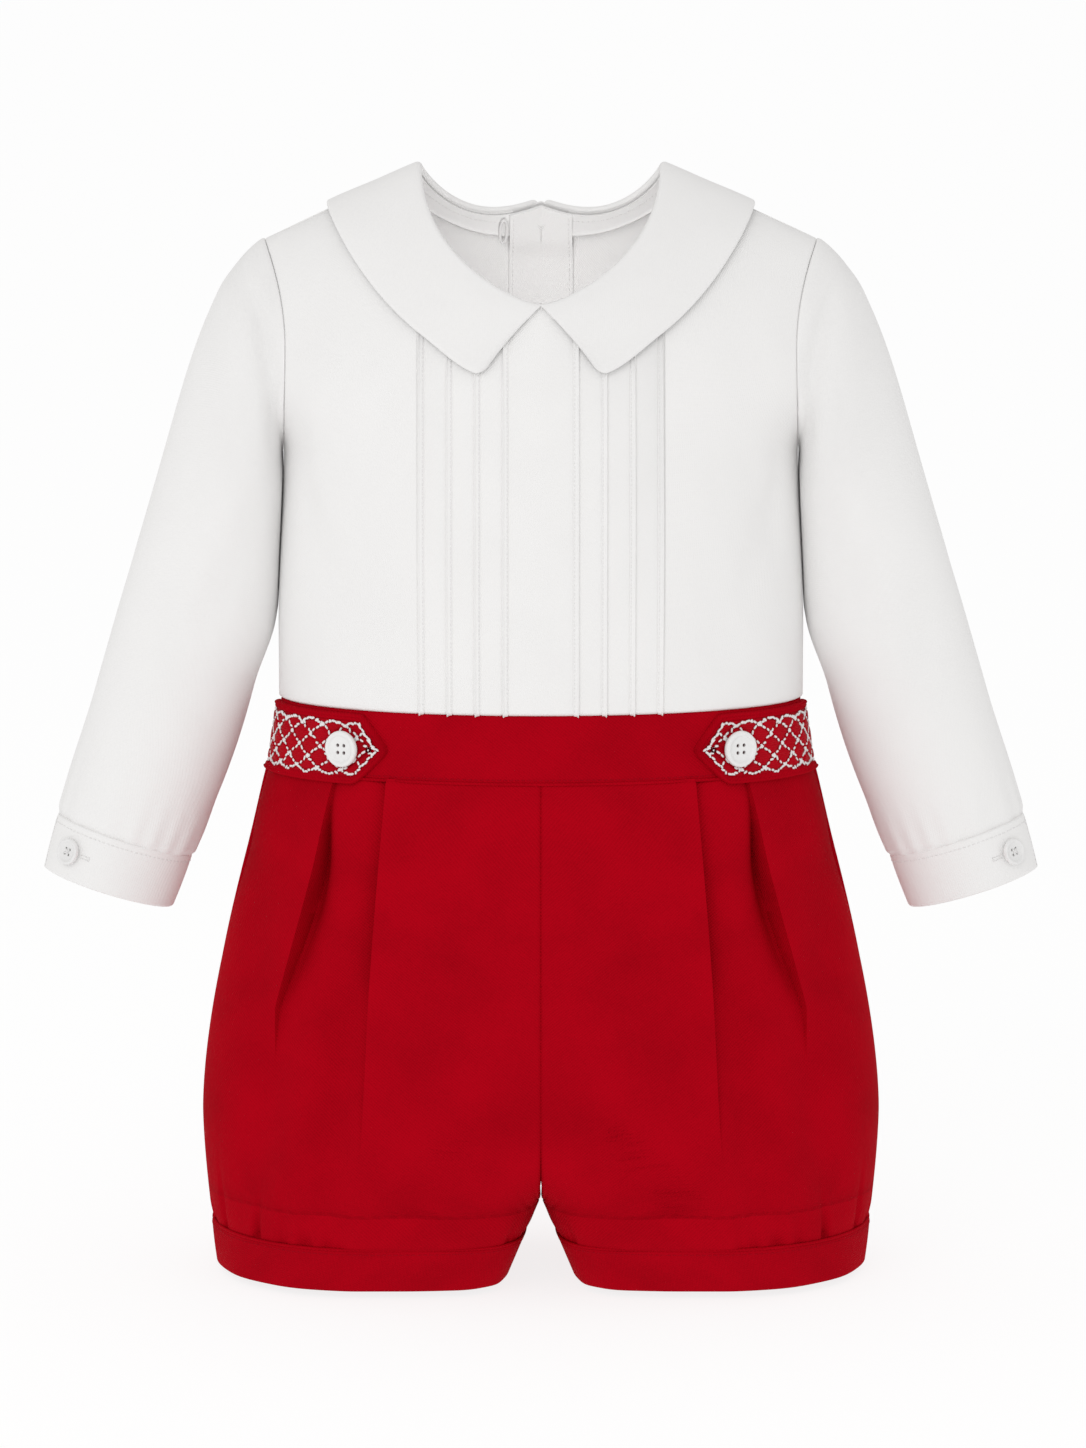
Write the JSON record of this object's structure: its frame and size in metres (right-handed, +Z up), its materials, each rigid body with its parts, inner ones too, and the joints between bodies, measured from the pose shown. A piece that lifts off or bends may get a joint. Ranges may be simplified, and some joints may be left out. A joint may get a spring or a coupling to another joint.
{
  "type": "toddler's shirt and bubble shorts outfit",
  "caption": "Toddler's two-piece outfit: a long-sleeved shirt with a round collar, pintucks and a buttoned back, tucked into pleated bubble shorts with embroidered side tabs.",
  "frame": {"origin": "middle of the shorts' hems, at the height of their lowest edge", "axes": "+Z up to the collar, -Y out of the front, +X towards the wearer's left"},
  "size_m": [0.431, 0.1594, 0.4796],
  "materials": {
    "shirt_cloth": "fine white cotton poplin",
    "shorts_cloth": "red brushed cotton twill",
    "white_thread": "stranded embroidery floss",
    "elastic": "woven elastic",
    "buttons": "white moulded, satin gloss"
  },
  "bodies": {
    "shirt": {"shirt_front": "shirt_cloth", "shirt_back_left": "shirt_cloth", "shirt_back_right": "shirt_cloth", "back_placket_under": "shirt_cloth", "back_placket_over": "shirt_cloth", "back_button_1": "buttons", "back_button_2": "buttons", "back_button_3": "buttons", "back_button_4": "buttons", "back_button_5": "buttons", "collar_left": "shirt_cloth", "collar_right": "shirt_cloth", "neck_facing": "shirt_cloth", "hanger_loop": "white_thread"},
    "sleeve_left": {"sleeve_left": "shirt_cloth", "cuff_left": "shirt_cloth", "cuff_button_left": "buttons"},
    "sleeve_right": {"sleeve_right": "shirt_cloth", "cuff_right": "shirt_cloth", "cuff_button_right": "buttons"},
    "shorts": {"waistband_front": "shorts_cloth", "waistband_back": "shorts_cloth", "waist_elastic": "elastic", "waistband_facing": "shorts_cloth", "shorts_front_left": "shorts_cloth", "shorts_front_right": "shorts_cloth", "shorts_back_left": "shorts_cloth", "shorts_back_right": "shorts_cloth", "leg_band_left": "shorts_cloth", "leg_band_right": "shorts_cloth"},
    "side_tab_left": {"side_tab_left": "shorts_cloth", "tab_embroidery_left": "white_thread", "tab_button_left": "buttons"},
    "side_tab_right": {"side_tab_right": "shorts_cloth", "tab_embroidery_right": "white_thread", "tab_button_right": "buttons"}
  },
  "joints": [
    {"name": "raise_sleeve_left", "type": "hinge", "parent": "shirt", "child": "sleeve_left", "pos_m": [0.118, 0, 0.447], "axis": [0, -1, 0], "range_deg": [0, 72]},
    {"name": "raise_sleeve_right", "type": "hinge", "parent": "shirt", "child": "sleeve_right", "pos_m": [-0.118, 0, 0.447], "axis": [0, 1, 0], "range_deg": [0, 72]},
    {"name": "pull_down_shorts", "type": "slide", "parent": "shirt", "child": "shorts", "axis": [0, 0, -1], "range_m": [0, 0.06]},
    {"name": "lift_tab_left", "type": "hinge", "parent": "shorts", "child": "side_tab_left", "pos_m": [0.1171, -0.0026, 0.2355], "axis": [0, 0, 1], "range_deg": [0, 60]},
    {"name": "lift_tab_right", "type": "hinge", "parent": "shorts", "child": "side_tab_right", "pos_m": [-0.1171, -0.0026, 0.2355], "axis": [0, 0, -1], "range_deg": [0, 60]}
  ]
}
